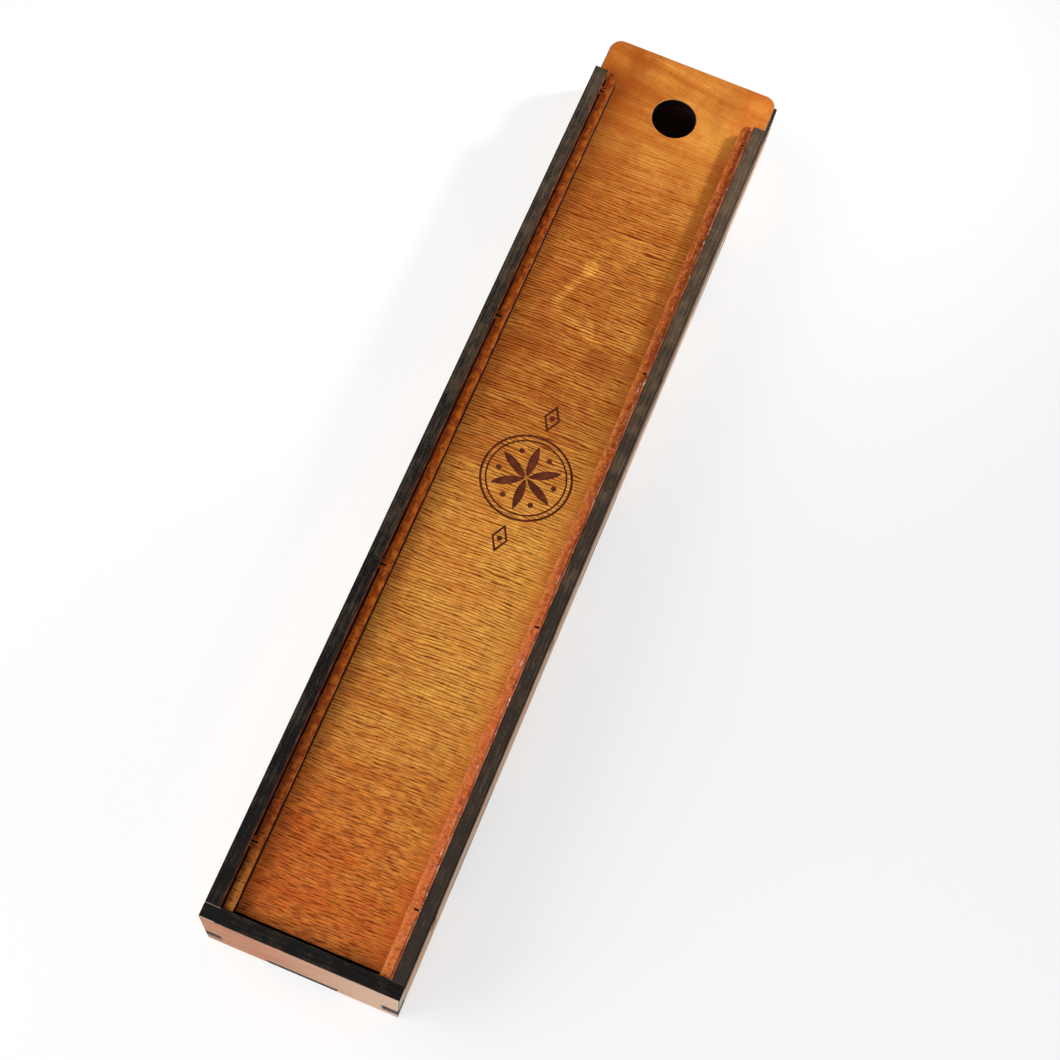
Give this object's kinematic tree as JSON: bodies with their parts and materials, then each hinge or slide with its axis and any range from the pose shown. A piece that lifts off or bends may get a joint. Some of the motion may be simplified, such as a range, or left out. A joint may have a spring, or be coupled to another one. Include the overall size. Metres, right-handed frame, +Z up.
{
  "type": "sliding-lid box",
  "caption": "Slim plywood box for small long things: a flat lid with a finger hole slides between rails along the side walls and comes out at one end.",
  "frame": {"origin": "centre of the underside", "axes": "+X along the box towards the end where the lid slides out, +Y to the left when looking that way, +Z up"},
  "size_m": [0.292, 0.055, 0.033],
  "materials": {
    "base_ply": "brown stain, satin",
    "end_ply": "brown stain, satin, burnt cut edges",
    "side_ply": "brown stain, satin, burnt cut edges",
    "rail_ply": "red-brown stain, satin, burnt cut edges",
    "lid_ply": "golden-brown stain, satin, burnt cut edges"
  },
  "bodies": {
    "box": {"base_panel": "base_ply", "near_end_wall": "end_ply", "far_end_wall": "end_ply", "left_wall": "side_ply", "right_wall": "side_ply", "left_lower_rail": "rail_ply", "left_upper_rail": "rail_ply", "right_lower_rail": "rail_ply", "right_upper_rail": "rail_ply"},
    "lid": {"lid": "lid_ply"}
  },
  "joints": [
    {"name": "lid_slide", "type": "slide", "parent": "box", "child": "lid", "axis": [1, 0, 0], "range_m": [0, 0.29]}
  ]
}
